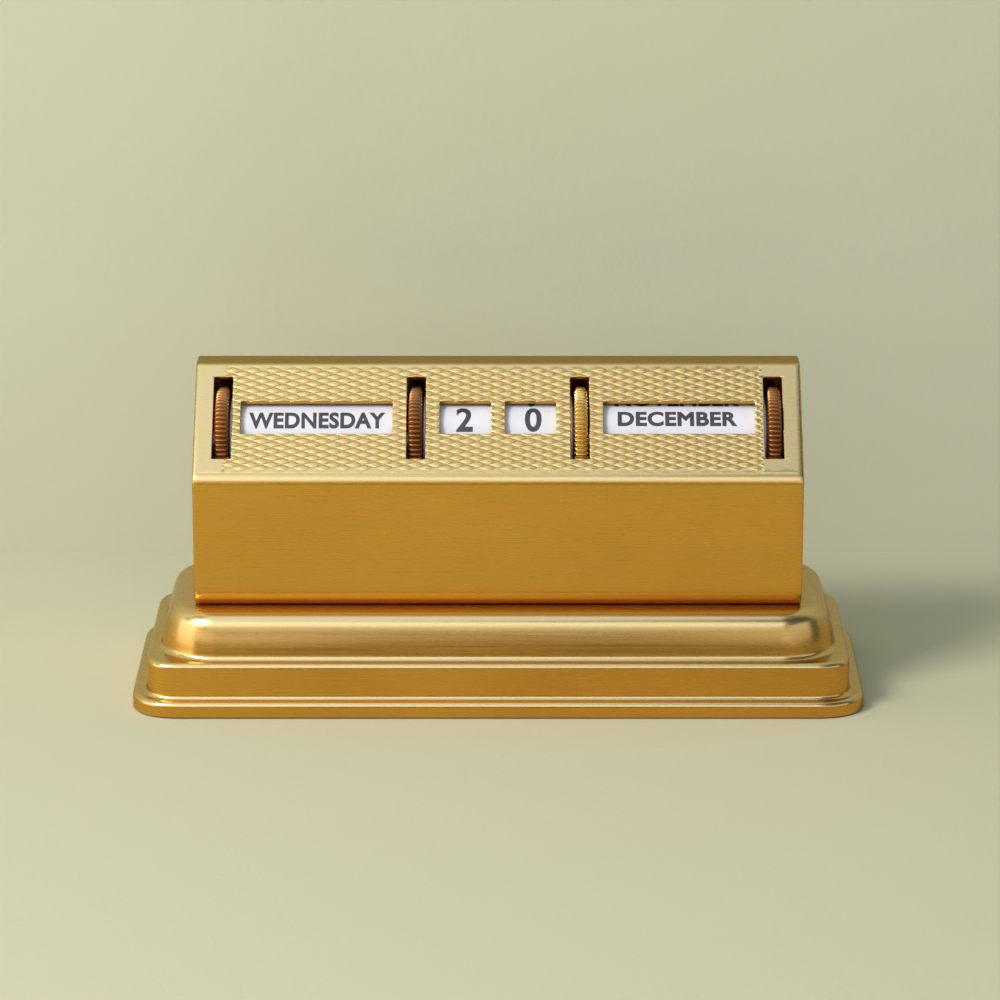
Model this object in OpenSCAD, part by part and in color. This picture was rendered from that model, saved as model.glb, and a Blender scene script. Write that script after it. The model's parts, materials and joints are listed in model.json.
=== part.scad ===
// Perpetual desk calendar: four drums on one axle, in a folded sheet housing on a stepped base.
// Millimetres. +Z is up, the dial faces -Y, and the origin is the centre of the footprint, on the table.

/* [Base] */
// Width of the base, left to right
base_w = 146; // [142:1:160]
// Depth of the base, front to back
base_d = 54.6; // [54:0.2:70]
// Plan radius of the outer corners
corner_r = 8; // [6:0.5:9]
// Height of the lower tier's wall
lower_tier_h = 3; // [2.8:0.1:5]
// Height of the upper tier's wall
upper_tier_h = 7.1; // [5:0.1:10]
// Width of the ledge between the two tiers
lower_step = 2.95; // [2.2:0.05:3.5]
// Width of the ledge round the foot of the dome
upper_step = 2.5; // [1.5:0.1:3]
// Height of the dome above the upper tier
dome_h = 8.9; // [8:0.1:12]
// Lean of the dome's sides from the vertical, in degrees
dome_lean = 14; // [10:1:24]
// Radius of the dome's shoulder
shoulder_r = 3.5; // [2:0.1:4]
// Plan radius of the dome's corners
dome_corner_r = 2.6; // [1.5:0.1:4]
// Thickness of the base sheet
base_t = 0.8; // [0.6:0.1:1]
// Radius of the tiers' top edges
edge_r = 0.8; // [0.4:0.1:1]
// Radius of the cove at the foot of the upper tier
cove_r = 0.7; // [0.3:0.1:1]

/* [Foot] */
// Height of the metal rim above the table
rim_gap = 0.3; // [0.2:0.1:0.6]
// Thickness of the bottom plate
plate_t = 1; // [0.8:0.1:1.2]
// Gap round the bottom plate and the felt
plate_gap = 0.2; // [0.1:0.1:0.5]
// Radius of the support posts
post_r = 3; // [2.4:0.1:3.6]
// Distance of the post centres from the end plates' inner faces
post_end_gap = 7.3; // [5:0.1:9]
// Distance of the post centres from the housing's front and back
post_front_gap = 7.8; // [7.5:0.1:8.5]
// Radius of the studs and screws
screw_r = 1.45; // [1:0.05:1.6]
// Radial clearance of a plain hole round a stud or screw
hole_gap = 0.15; // [0.1:0.05:0.3]
// Radial clearance of a thread, which is modelled plain
thread_gap = 0.05; // [0.03:0.01:0.1]
// Radius of the bottom screws' heads
head_r = 2.8; // [2.4:0.1:3.2]
// Height of the bottom screws' heads
head_h = 1; // [0.7:0.05:1.1]
// Gap between a screw head and the felt round it
felt_hole_gap = 0.6; // [0.3:0.1:1]
// How far the bottom screws go into the posts
screw_bite = 7; // [4:0.5:10]
// Height of the nuts on the studs
nut_h = 2.4; // [1.6:0.1:3]
// Radius of the nuts over their corners
nut_r = 3.1; // [2.8:0.1:3.6]
// How far the studs stand above their nuts
stud_over = 0.8; // [0.2:0.1:2]
// Depth of the slots in the screw heads
driver_d = 0.4; // [0.2:0.05:0.45]

/* [Housing] */
// Ledge of the base outside each end of the housing
end_ledge = 12.5; // [12:0.1:14]
// Height of the vertical front, up to the fold
front_h = 27; // [24:0.1:32]
// Rise of the sloping dial
dial_rise = 18.4; // [17.5:0.1:20]
// Slope of the dial from the horizontal, in degrees
dial_slope = 45; // [43:1:47]
// Depth of the flat top
top_d = 6.6; // [6:0.1:9]
// Depth and height of the bevel behind the top
back_bevel = 5.6; // [5.4:0.1:8]
// Thickness of the housing sheet
housing_t = 0.9; // [0.6:0.1:1]
// Outer radius of the bends at the bottom
bend_r = 4; // [2.5:0.5:4.5]
// Outer radius of the fold under the dial
fold_r = 2.2; // [1.2:0.1:2.5]
// Outer radius of the ridges at the top
ridge_r = 1.2; // [1.1:0.1:1.6]
// Width of the flanges that are turned under
flange_w = 11.5; // [10.5:0.5:12.5]
// Thickness of the end plates
end_t = 1.2; // [0.8:0.1:1.4]
// Reach of the foot that is turned in from each end plate
end_foot = 13; // [12:0.5:16]
// Gap between an end plate's foot and the bends beside it
end_foot_gap = 0.3; // [0.2:0.1:1]

/* [Dial] */
// Distance of the dial's centre line up the slope from the fold
dial_mid = 13.65; // [13:0.05:14.2]
// Height of the windows
window_h = 7.4; // [5:0.1:7.8]
// Width of the windows for the digits
digit_window_w = 10.2; // [8:0.1:10.6]
// Width of the sheet left between neighbouring windows and slots
bridge_w = 2.8; // [2:0.1:3]
// Width of the sheet left between a name's window and its own slot
name_bridge_w = 1.7; // [1.2:0.1:2.5]
// Distance of the outer thumb slots' middles from the ends of the housing
slot_inset = 5.65; // [5.5:0.05:6.5]
// Width of the thumb slots
slot_w = 3.8; // [3.5:0.1:4]
// Length of the thumb slots
slot_l = 18.7; // [16:0.1:19]

/* [Wheels and drums] */
// Outer radius of the thumb wheels
wheel_r = 11.8; // [11.5:0.1:12]
// Width of the thumb wheels
wheel_w = 2.6; // [2.2:0.1:2.8]
// How far the wheels stand out of the dial
wheel_proud = 1.1; // [1:0.1:1.3]
// How far the wheels sit outboard of their slots' middles
wheel_shift = 0.2; // [0:0.05:0.3]
// Number of knurled teeth round a wheel
wheel_teeth = 76; // [48:4:92]
// Depth of the knurling
knurl_d = 0.35; // [0.2:0.05:0.5]
// Bevel on the wheels' rims
wheel_bevel = 0.5; // [0.3:0.05:0.8]
// Gap between the labels and the back of the dial
dial_gap = 0.25; // [0.2:0.05:0.5]
// Thickness of the printed labels
label_t = 0.15; // [0.1:0.05:0.3]
// How far the labels stay back from the drums' ends
label_inset = 0.4; // [0.2:0.1:1]
// Thickness of the glue under the labels, and round the wheels' seats
glue_gap = 0.02; // [0.01:0.01:0.05]
// Wall of the drums
drum_wall = 1.2; // [0.8:0.1:1.6]
// Thickness of the ribs inside the drums
rib_t = 1; // [0.8:0.1:1.4]
// Radius of the drums' hubs
hub_r = 3; // [2.6:0.1:3.4]
// Radius of the bosses that carry the wheels
boss_r = 4; // [3.6:0.1:4.6]

/* [Axle] */
// Radius of the axle
axle_r = 1.5; // [1.3:0.05:1.7]
// Radial running clearance of all that turns on the axle
running_gap = 0.05; // [0.02:0.01:0.09]
// Thickness of the thrust washers
washer_t = 0.4; // [0.3:0.05:0.5]
// Radius of the thrust washers and the spacers
washer_r = 3.2; // [2.8:0.1:3.4]
// End play on each side of a turning piece
end_play = 0.1; // [0.05:0.05:0.15]
// Height of the dished spring washer
spring_h = 0.8; // [0.6:0.1:1]
// Thickness of the dished spring washer
spring_t = 0.25; // [0.2:0.05:0.3]
// Radius of the screws in the axle's ends
axle_screw_r = 0.95; // [0.7:0.05:1]
// Length of the screws in the axle's ends
axle_screw_l = 6; // [4:0.5:10]
// Radius of the axle screws' heads
axle_head_r = 2.2; // [2:0.1:3]
// Height of the axle screws' heads
axle_head_h = 0.7; // [0.5:0.1:1]
// Width of the slots in the screw heads
driver_w = 0.6; // [0.4:0.1:0.8]

/* [Hidden] */
$fn = 96;
eps = 0.01;
cut = 1;               // how far a cutting shape runs past what it cuts
arc_steps = 6;         // straight pieces in each round stretch of an outline

// Heights above the table
lower_top = rim_gap + lower_tier_h;
upper_top = lower_top + upper_tier_h;
dome_top = upper_top + dome_h;
plate_top = lower_top - base_t;
plate_bottom = plate_top - plate_t;
fold_z = dome_top + front_h;
housing_top = fold_z + dial_rise;

// Size of the housing
housing_w = base_w - 2 * end_ledge;
dial_run = dial_rise / tan(dial_slope);
housing_d = dial_run + top_d + back_bevel;
front_y = -housing_d / 2;

// The dome's side: a leaning flat that runs into the shoulder
foot_inset = lower_step + upper_step;
shoulder_z = dome_top - shoulder_r;
flat_h = shoulder_z + shoulder_r * sin(dome_lean) - upper_top;
shoulder_inset = flat_h * tan(dome_lean) + shoulder_r * cos(dome_lean);
dome_arc_steps = 8;

// Middles of the windows and slots, left and right of the middle of the dial
digit_window_x = (bridge_w + digit_window_w) / 2;
inner_slot_x = digit_window_x + digit_window_w / 2 + bridge_w + slot_w / 2;
outer_slot_x = housing_w / 2 - slot_inset;
name_window_from = inner_slot_x + slot_w / 2 + bridge_w;
name_window_to = outer_slot_x - slot_w / 2 - name_bridge_w;
name_window_x = (name_window_from + name_window_to) / 2;
name_window_w = name_window_to - name_window_from;

// The axle, under the middle of the dial
axle_depth = wheel_r - wheel_proud;
axle_y = front_y + dial_mid * cos(dial_slope) + axle_depth * sin(dial_slope);
axle_z = fold_z + dial_mid * sin(dial_slope) - axle_depth * cos(dial_slope);
bore_r = axle_r + running_gap;

// Places along the axle, for the left half
label_r = axle_depth - housing_t - dial_gap;
drum_r = label_r - label_t - glue_gap;
end_x = housing_w / 2 - end_t;
outer_wheel_x = outer_slot_x + wheel_shift;
inner_wheel_x = inner_slot_x + wheel_shift;
name_drum_x = outer_wheel_x - wheel_w / 2;
digit_drum_x = inner_wheel_x - wheel_w / 2;
washer_space = washer_t + 2 * end_play;
name_drum_l = name_drum_x - inner_wheel_x - wheel_w / 2 - washer_space;
digit_drum_l = digit_drum_x - washer_space / 2;
spacer_space = end_x - outer_wheel_x - wheel_w / 2 - end_play;

// Fasteners
post_x = end_x - post_end_gap;
post_y = housing_d / 2 - post_front_gap;
post_spots = [for (sx = [-1, 1], sy = [-1, 1]) [sx * post_x, sy * post_y]];
nut_z = dome_top + housing_t + end_t;

// ---- Outlines ----

function unit(v) = v / norm(v);
function corner_angle(u, v) = acos(u * v);

// The points of an arc that rounds the corner p between a and b
function fillet(a, p, b, r, n) =
    let (u = unit(a - p), v = unit(b - p), angle = corner_angle(u, v),
         reach = r / tan(angle / 2), centre = p + unit(u + v) * r / sin(angle / 2),
         from = unit(p + u * reach - centre), to = unit(p + v * reach - centre), turn = 180 - angle)
    [for (k = [0 : n]) centre + r * (sin((1 - k / n) * turn) * from + sin(k / n * turn) * to) / sin(turn)];

// A closed outline with each corner rounded to its own radius
function rounded(points, radii, n) =
    let (count = len(points))
    [for (i = [0 : count - 1])
        each fillet(points[(i + count - 1) % count], points[i], points[(i + 1) % count], radii[i], n)];

// A closed convex outline moved in by t
function inset(points, t) =
    let (count = len(points))
    [for (i = [0 : count - 1])
        let (u = unit(points[(i + count - 1) % count] - points[i]),
             v = unit(points[(i + 1) % count] - points[i]))
        points[i] + (u + v) * t / sin(corner_angle(u, v))];

// A rectangle with round corners
function round_rect(w, d, r) =
    let (x = w / 2, y = d / 2)
    rounded([[-x, -y], [x, -y], [x, y], [-x, y]], [r, r, r, r], dome_arc_steps);

// ---- Shared shapes ----

// A slab with round corners in plan
module slab(w, d, r, h) {
    linear_extrude(h) polygon(round_rect(w, d, r));
}

// A block whose side follows outline, a list of [inset, height], round corners of plan radius r
module swept_block(w, d, r, outline) {
    low = outline[0].y;
    high = outline[len(outline) - 1].y;
    rotate([90, 0, 90]) linear_extrude(w - 2 * r, center = true) mirrored_profile(d / 2, outline);
    rotate([90, 0, 0]) linear_extrude(d - 2 * r, center = true) mirrored_profile(w / 2, outline);
    for (sx = [-1, 1], sy = [-1, 1])
        translate([sx * (w / 2 - r), sy * (d / 2 - r), 0])
            rotate_extrude()
                polygon(concat([[0, low]], [for (p = outline) [r - p.x, p.y]], [[0, high]]));
}

// The section across a swept block
module mirrored_profile(half, outline) {
    last = len(outline) - 1;
    polygon(concat([for (p = outline) [half - p.x, p.y]],
                   [for (i = [last : -1 : 0]) [outline[i].x - half, outline[i].y]]));
}

// A solid skinned over level rings that have equally many points, lowest first
module loft(rings, heights) {
    count = len(rings[0]);
    top = len(rings) - 1;
    points = [for (k = [0 : top]) each [for (p = rings[k]) [p.x, p.y, heights[k]]]];
    sides = [for (k = [0 : top - 1], i = [0 : count - 1])
        [k * count + i, (k + 1) * count + i, (k + 1) * count + (i + 1) % count, k * count + (i + 1) % count]];
    polyhedron(points, concat([[for (i = [0 : count - 1]) i]], sides,
                              [[for (i = [count - 1 : -1 : 0]) top * count + i]]));
}

// A tube on the axle, from x upwards
module sleeve(x, l, outer_r, inner_r) {
    translate([x, axle_y, axle_z]) rotate([0, 90, 0]) difference() {
        cylinder(h = l, r = outer_r);
        translate([0, 0, -cut]) cylinder(h = l + 2 * cut, r = inner_r);
    }
}

// The left half's shape, or its mirror image on the right
module on_side(side) {
    if (side < 0) children();
    else mirror([1, 0, 0]) children();
}

// At each support post
module at_posts() {
    for (spot = post_spots) translate([spot.x, spot.y, 0]) children();
}

// Plain holes for the studs or the bottom screws, through a sheet of thickness t whose underside is at z
module stud_holes(z, t) {
    at_posts() translate([0, 0, z - cut]) cylinder(h = t + 2 * cut, r = screw_r + hole_gap);
}

// ---- Base ----

// The side of the two tiers, g inside the outer surface
function tier_outline(g) =
    let (edge = max(edge_r - g, 0.1), cove = cove_r + g,
         low = [g, lower_top - g],
         foot = [lower_step + g, lower_top - g],
         high = [lower_step + g, upper_top - g],
         inner = [lower_step + upper_step + g, upper_top - g])
    concat([[g, rim_gap - (g > 0 ? cut : 0)]],
           fillet([g, 0], low, foot, edge, arc_steps),
           fillet(low, foot, high, cove, arc_steps),
           fillet(foot, high, inner, edge, arc_steps));

// The side of the dome from height low up, g inside the outer surface
function dome_outline(g, low) =
    let (r = shoulder_r - g,
         arc = [for (k = [0 : dome_arc_steps])
             let (a = dome_lean + (90 - dome_lean) * k / dome_arc_steps)
             [shoulder_inset - r * cos(a), shoulder_z + r * sin(a)]])
    concat([[arc[0].x - (arc[0].y - low) * tan(dome_lean), low]], arc);

module dome_form(g, low) {
    outline = dome_outline(g, low);
    insets = [for (p = outline) 2 * (foot_inset + p.x)];
    loft([for (t = insets) round_rect(base_w - t, base_d - t, dome_corner_r - g)],
         [for (p = outline) p.y]);
}

module base_shell() {
    color("goldenrod") difference() {
        union() {
            swept_block(base_w, base_d, corner_r, tier_outline(0));
            dome_form(0, upper_top - base_t / 2);
        }
        swept_block(base_w, base_d, corner_r, tier_outline(base_t));
        dome_form(base_t, upper_top - base_t - cut);
        stud_holes(dome_top - base_t, base_t);
    }
}

module base_plate() {
    edge = base_t + plate_gap;
    color("darkgray") difference() {
        translate([0, 0, plate_bottom]) slab(base_w - 2 * edge, base_d - 2 * edge, corner_r - edge, plate_t);
        stud_holes(plate_bottom, plate_t);
    }
}

module felt_pad() {
    edge = base_t + plate_gap;
    color("darkgreen") difference() {
        slab(base_w - 2 * edge, base_d - 2 * edge, corner_r - edge, plate_bottom);
        at_posts() translate([0, 0, -cut]) cylinder(h = plate_bottom + 2 * cut, r = head_r + felt_hole_gap);
    }
}

// Pillars between the bottom plate and the dome, with a stud that goes up into the housing
module base_posts() {
    stud_top = nut_z + nut_h + stud_over;
    dome_under = dome_top - base_t;
    color("silver") at_posts() difference() {
        union() {
            translate([0, 0, plate_top]) cylinder(h = dome_under - plate_top, r = post_r);
            translate([0, 0, dome_under - cut]) cylinder(h = stud_top - dome_under + cut, r = screw_r);
        }
        translate([0, 0, plate_top - cut]) cylinder(h = screw_bite + 2 * cut, r = screw_r + thread_gap);
    }
}

module plate_screws() {
    color("silver") at_posts() difference() {
        union() {
            translate([0, 0, plate_bottom - head_h]) cylinder(h = head_h, r = head_r);
            translate([0, 0, plate_bottom - eps]) cylinder(h = plate_t + screw_bite + eps, r = screw_r);
        }
        translate([0, 0, plate_bottom - head_h])
            cube([2 * head_r + cut, driver_w, 2 * driver_d], center = true);
    }
}

// ---- Housing ----

// Corners of the housing's section, [y, z], from the front bottom round over the top
housing_corners = [
    [front_y, dome_top], [front_y, fold_z], [front_y + dial_run, housing_top],
    [front_y + dial_run + top_d, housing_top], [-front_y, housing_top - back_bevel], [-front_y, dome_top]
];
housing_radii = [bend_r, fold_r, ridge_r, ridge_r, ridge_r, bend_r];

module housing_section(t) {
    polygon(rounded(inset(housing_corners, t), [for (r = housing_radii) r - t], arc_steps));
}

// A cut through the dial, centred on its centre line at x
module dial_cut(x, w, h) {
    translate([x, front_y, fold_z]) rotate([dial_slope, 0, 0])
        translate([0, dial_mid, 0]) cube([w, h, 2 * (housing_t + cut)], center = true);
}

module housing_shell() {
    open_d = housing_d - 2 * flange_w;
    color("gold") difference() {
        rotate([90, 0, 90]) linear_extrude(2 * end_x, center = true) difference() {
            housing_section(0);
            housing_section(housing_t);
        }
        translate([-end_x - cut, -open_d / 2, dome_top - cut])
            cube([2 * (end_x + cut), open_d, housing_t + 2 * cut]);
        for (side = [-1, 1]) {
            dial_cut(side * name_window_x, name_window_w, window_h);
            dial_cut(side * digit_window_x, digit_window_w, window_h);
            dial_cut(side * outer_slot_x, slot_w, slot_l);
            dial_cut(side * inner_slot_x, slot_w, slot_l);
        }
        stud_holes(dome_top, housing_t);
    }
}

// The left end plate: a plate over the end of the housing sheet, and a foot turned in along the flanges
module end_plate() {
    foot_d = housing_d - 2 * (bend_r + end_foot_gap);
    color("gold") difference() {
        union() {
            translate([-end_x - end_t, 0, 0]) rotate([90, 0, 90]) linear_extrude(end_t) housing_section(0);
            translate([-end_x - eps, -foot_d / 2, dome_top + housing_t])
                cube([end_foot + eps, foot_d, end_t]);
        }
        sleeve(-end_x - end_t - cut, end_t + 2 * cut, bore_r, 0);
        stud_holes(dome_top + housing_t, end_t);
    }
}

module end_plate_left() {
    on_side(-1) end_plate();
}

module end_plate_right() {
    on_side(1) end_plate();
}

module housing_nuts() {
    color("silver") at_posts() translate([0, 0, nut_z]) difference() {
        cylinder(h = nut_h, r = nut_r, $fn = 6);
        translate([0, 0, -cut]) cylinder(h = nut_h + 2 * cut, r = screw_r + thread_gap);
    }
}

// ---- Axle ----

module axle_shaft() {
    l = housing_w - 2 * end_play;
    bore_l = axle_screw_l + end_play;
    color("lightgray") difference() {
        sleeve(-l / 2, l, axle_r, 0);
        for (side = [-1, 1]) on_side(side) sleeve(-l / 2 - cut, bore_l + cut, axle_screw_r + thread_gap, 0);
    }
}

module axle_screw() {
    color("silver") difference() {
        union() {
            sleeve(-housing_w / 2 - axle_head_h, axle_head_h, axle_head_r, 0);
            sleeve(-housing_w / 2 - eps, axle_screw_l + eps, axle_screw_r, 0);
        }
        translate([-housing_w / 2 - axle_head_h, axle_y, axle_z])
            cube([2 * driver_d, 2 * axle_head_r + cut, driver_w], center = true);
    }
}

module axle_screw_left() {
    on_side(-1) axle_screw();
}

module axle_screw_right() {
    on_side(1) axle_screw();
}

module axle_spacer_left() {
    color("silver") sleeve(-end_x, spacer_space, washer_r, bore_r);
}

module axle_spacer_right() {
    color("silver") on_side(1) sleeve(-end_x, spacer_space - spring_h, washer_r, bore_r);
}

// Keeps the turning pieces between neighbours apart
module thrust_washers() {
    gap_x = inner_wheel_x + wheel_w / 2 + end_play;
    color("silver") {
        sleeve(-gap_x - washer_t, washer_t, washer_r, bore_r);
        sleeve(-washer_t / 2, washer_t, washer_r, bore_r);
        sleeve(gap_x, washer_t, washer_r, bore_r);
    }
}

// A dished washer that presses the drums together, so that they stay where they are turned to
module spring_washer() {
    color("silver") translate([end_x - spacer_space, axle_y, axle_z]) rotate([0, 90, 0])
        rotate_extrude() polygon([
            [bore_r, spring_h - spring_t], [bore_r, spring_h], [washer_r, spring_t], [washer_r, 0]
        ]);
}

// ---- Wheels and drums ----

// A brass thumb wheel with straight knurling and bevelled rims, its outer face at x on the left
module thumb_wheel(x) {
    half = 180 / wheel_teeth;
    color("goldenrod") translate([x, axle_y, axle_z]) rotate([0, 90, 0]) difference() {
        intersection() {
            linear_extrude(wheel_w) polygon([for (i = [0 : wheel_teeth - 1]) each [
                [wheel_r * cos(2 * i * half), wheel_r * sin(2 * i * half)],
                [(wheel_r - knurl_d) * cos((2 * i + 1) * half), (wheel_r - knurl_d) * sin((2 * i + 1) * half)]
            ]]);
            rotate_extrude() polygon([
                [0, 0], [wheel_r - wheel_bevel, 0], [wheel_r + cut, wheel_bevel + cut],
                [wheel_r + cut, wheel_w - wheel_bevel - cut], [wheel_r - wheel_bevel, wheel_w], [0, wheel_w]
            ]);
        }
        translate([0, 0, -cut]) cylinder(h = wheel_w + 2 * cut, r = boss_r + glue_gap);
    }
}

// A moulded drum: a shell, a web at its wheel's end, a hub, four ribs, and the boss for the wheel
module drum(x, l) {
    color("ivory") translate([x, axle_y, axle_z]) rotate([0, 90, 0]) difference() {
        union() {
            difference() {
                cylinder(h = l, r = drum_r);
                translate([0, 0, drum_wall]) cylinder(h = l, r = drum_r - drum_wall);
            }
            cylinder(h = l, r = hub_r);
            for (a = [0, 90]) rotate(a) translate([-drum_r + drum_wall / 2, -rib_t / 2, drum_wall / 2])
                cube([2 * drum_r - drum_wall, rib_t, l - drum_wall]);
            translate([0, 0, -wheel_w]) cylinder(h = wheel_w + drum_wall, r = boss_r);
        }
        translate([0, 0, -wheel_w - cut]) cylinder(h = wheel_w + l + 2 * cut, r = bore_r);
    }
}

// A paper band round a drum
module label(x, l) {
    color("white") sleeve(x + label_inset, l - 2 * label_inset, label_r, label_r - label_t);
}

module weekday_wheel() {
    on_side(-1) thumb_wheel(-name_drum_x - wheel_w);
}

module weekday_drum() {
    on_side(-1) drum(-name_drum_x, name_drum_l);
}

module weekday_label() {
    on_side(-1) label(-name_drum_x, name_drum_l);
}

module tens_wheel() {
    on_side(-1) thumb_wheel(-digit_drum_x - wheel_w);
}

module tens_drum() {
    on_side(-1) drum(-digit_drum_x, digit_drum_l);
}

module tens_label() {
    on_side(-1) label(-digit_drum_x, digit_drum_l);
}

module units_wheel() {
    on_side(1) thumb_wheel(-digit_drum_x - wheel_w);
}

module units_drum() {
    on_side(1) drum(-digit_drum_x, digit_drum_l);
}

module units_label() {
    on_side(1) label(-digit_drum_x, digit_drum_l);
}

module month_wheel() {
    on_side(1) thumb_wheel(-name_drum_x - wheel_w);
}

module month_drum() {
    on_side(1) drum(-name_drum_x, name_drum_l);
}

module month_label() {
    on_side(1) label(-name_drum_x, name_drum_l);
}

base_shell();
base_plate();
felt_pad();
base_posts();
plate_screws();
housing_shell();
end_plate_left();
end_plate_right();
housing_nuts();
axle_shaft();
axle_screw_left();
axle_screw_right();
axle_spacer_left();
axle_spacer_right();
thrust_washers();
spring_washer();
weekday_wheel();
weekday_drum();
weekday_label();
tens_wheel();
tens_drum();
tens_label();
units_wheel();
units_drum();
units_label();
month_wheel();
month_drum();
month_label();
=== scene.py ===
"""Looks of a brass perpetual desk calendar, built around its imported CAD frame.

Pieces are modelled in millimetres, in the frame's axes, and brought to metres when they are finished:
+Z is up, the dial faces -Y, and the origin is the centre of the footprint on the table.
"""

import json
import logging
import math
from dataclasses import dataclass, field
from enum import Enum
from typing import Any, Callable, Iterable, Sequence

import bmesh
import bpy
from mathutils import Matrix, Vector

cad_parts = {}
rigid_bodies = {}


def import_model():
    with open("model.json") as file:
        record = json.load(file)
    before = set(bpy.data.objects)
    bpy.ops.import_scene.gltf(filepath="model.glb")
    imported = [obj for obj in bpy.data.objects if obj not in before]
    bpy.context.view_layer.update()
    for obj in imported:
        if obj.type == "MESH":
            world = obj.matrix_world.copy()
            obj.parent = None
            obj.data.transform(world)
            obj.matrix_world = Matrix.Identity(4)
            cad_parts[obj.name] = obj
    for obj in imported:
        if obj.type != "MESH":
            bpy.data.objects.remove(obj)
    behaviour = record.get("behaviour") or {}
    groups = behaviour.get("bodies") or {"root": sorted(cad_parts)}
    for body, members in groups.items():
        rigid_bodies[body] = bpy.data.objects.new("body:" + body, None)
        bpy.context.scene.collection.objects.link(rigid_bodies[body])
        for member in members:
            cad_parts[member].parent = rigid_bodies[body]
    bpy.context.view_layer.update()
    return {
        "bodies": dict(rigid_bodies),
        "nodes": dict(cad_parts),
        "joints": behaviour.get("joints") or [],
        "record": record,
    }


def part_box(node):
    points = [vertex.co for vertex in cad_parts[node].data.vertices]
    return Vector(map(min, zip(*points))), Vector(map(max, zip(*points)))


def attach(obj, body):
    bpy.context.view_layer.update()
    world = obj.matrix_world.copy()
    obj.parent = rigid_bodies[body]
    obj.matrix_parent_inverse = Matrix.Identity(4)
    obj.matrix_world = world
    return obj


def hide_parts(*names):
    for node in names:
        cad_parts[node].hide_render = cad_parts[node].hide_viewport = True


LOG = logging.getLogger("calendar")
MM = 0.001                      # metres in a millimetre
LAMPS_AIM = 0.04                # metres over the table, where every lamp points
NEAR = 1e-4                     # millimetres within which two places count as one
SLACK = 0.01                    # millimetres by which a limit is eased
Point = tuple[float, float]


# ---- Shared tools ----

class Part(Enum):
    """What an edit-mode selection is made of."""

    EDGE = "EDGE"
    FACE = "FACE"


def linear(hex_colour: str) -> tuple[float, float, float, float]:
    """Turn an sRGB hex colour to the linear values that shaders take.

    Args:
        hex_colour: six hex digits after a hash sign.
    Returns:
        Linear red, green and blue, and an alpha of one.
    """
    shares = [int(hex_colour[i:i + 2], 16) / 255 for i in (1, 3, 5)]
    red, green, blue = (c / 12.92 if c <= 0.04045 else ((c + 0.055) / 1.055) ** 2.4 for c in shares)
    return red, green, blue, 1.0


def extent(node: str) -> tuple[Vector, Vector]:
    """Lowest and highest corner of a CAD node at rest, in millimetres."""
    low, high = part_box(node)
    return low / MM, high / MM


def active() -> bpy.types.Object:
    """The object that the last operator made or worked on."""
    return bpy.context.view_layer.objects.active


def work_on(piece: bpy.types.Object) -> None:
    """Make a piece the only selected object, and the active one."""
    bpy.ops.object.select_all(action="DESELECT")
    piece.select_set(True)
    bpy.context.view_layer.objects.active = piece


def start(add: Callable[..., Any], **settings: Any) -> bpy.types.Object:
    """Add a primitive with nothing else selected, and open it in edit mode.

    Args:
        add: the operator that adds the primitive.
        settings: the operator's own settings.
    Returns:
        The new object, in edit mode.
    """
    bpy.ops.object.select_all(action="DESELECT")
    add(**settings)
    bpy.ops.object.transform_apply()
    bpy.ops.object.mode_set(mode="EDIT")
    return active()


def close_edit() -> None:
    """Leave edit mode."""
    bpy.ops.object.mode_set(mode="OBJECT")


def middle(part: Any) -> Vector:
    """The middle of an edge or a face."""
    if isinstance(part, bmesh.types.BMEdge):
        return (part.verts[0].co + part.verts[1].co) / 2
    return part.calc_center_median()


def pick(kind: Part, test: Callable[[Any], bool]) -> None:
    """Select, in edit mode, only the parts that pass a test.

    Args:
        kind: edges or faces.
        test: says whether one of them is selected.
    """
    bpy.ops.mesh.select_mode(type=kind.value)
    bpy.ops.mesh.select_all(action="DESELECT")
    shape = bmesh.from_edit_mesh(active().data)
    for part in {Part.EDGE: shape.edges, Part.FACE: shape.faces}[kind]:
        if test(part):
            part.select_set(True)
    bmesh.update_edit_mesh(active().data)


def extrude(x: float = 0.0, y: float = 0.0, z: float = 0.0) -> None:
    """Extrude what is selected by a move, in millimetres."""
    bpy.ops.mesh.extrude_region_move(TRANSFORM_OT_translate={"value": (x, y, z)})


def stretch(x: float, y: float, z: float, about: Sequence[float]) -> None:
    """Scale what is selected about a point."""
    bpy.ops.transform.resize(value=(x, y, z), center_override=tuple(about))


def spin(about: Point, degrees: float, steps: int) -> None:
    """Spin the selected edges about an axis along X.

    Args:
        about: the axis's place, across and up.
        degrees: how far, with Y turning towards Z, which is against the operator's own sense.
        steps: the number of straight pieces.
    """
    bpy.ops.mesh.spin(
        steps=steps, angle=-math.radians(degrees), center=(0, *about), axis=(1, 0, 0), use_auto_merge=False)


def cut_plane(at: Sequence[float], normal: Sequence[float]) -> None:
    """Cut what is selected along a plane, and keep both sides."""
    bpy.ops.mesh.bisect(plane_co=tuple(at), plane_no=tuple(normal))


def apply(piece: bpy.types.Object, kind: str, **settings: Any) -> None:
    """Add one modifier to a piece and apply it.

    Args:
        piece: the object.
        kind: the modifier's type.
        settings: the modifier's own settings.
    """
    work_on(piece)
    modifier = piece.modifiers.new(kind.title(), kind)
    for key, value in settings.items():
        setattr(modifier, key, value)
    bpy.ops.object.modifier_apply(modifier=modifier.name)


def join(pieces: Sequence[bpy.types.Object]) -> bpy.types.Object:
    """Join pieces into the first of them."""
    bpy.ops.object.select_all(action="DESELECT")
    for piece in pieces:
        piece.select_set(True)
    bpy.context.view_layer.objects.active = pieces[0]
    bpy.ops.object.join()
    return pieces[0]


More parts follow.
